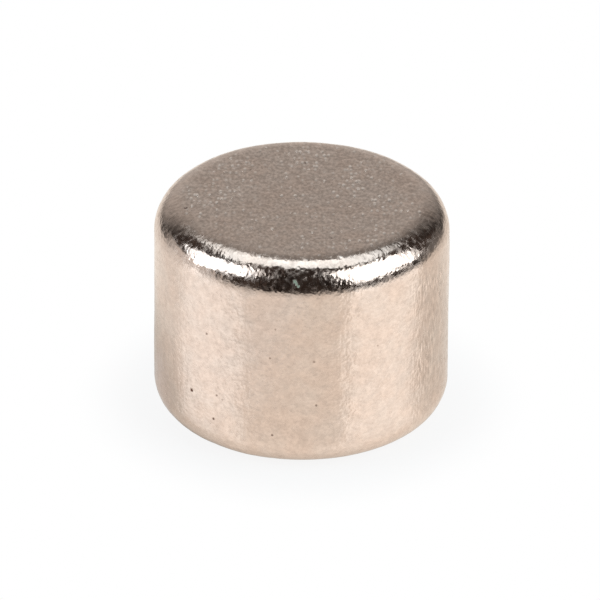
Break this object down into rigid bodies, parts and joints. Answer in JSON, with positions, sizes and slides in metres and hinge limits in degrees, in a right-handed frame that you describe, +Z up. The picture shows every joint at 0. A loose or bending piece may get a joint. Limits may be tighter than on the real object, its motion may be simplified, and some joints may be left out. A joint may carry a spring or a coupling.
{
  "type": "disc magnet",
  "caption": "Short solid cylinder magnet with flat pole faces, rounded rims and a warm nickel plating.",
  "frame": {"origin": "centre of the lower pole face, which the magnet stands on", "axes": "+Z up the magnet's axis, from the lower pole face to the upper one"},
  "size_m": [0.004, 0.004, 0.0031],
  "materials": {
    "nickel_plating": "bright warm nickel plating with a fine sandy grain, small pits and pale specks"
  },
  "bodies": {
    "root": {"magnet": "nickel_plating"}
  },
  "joints": []
}
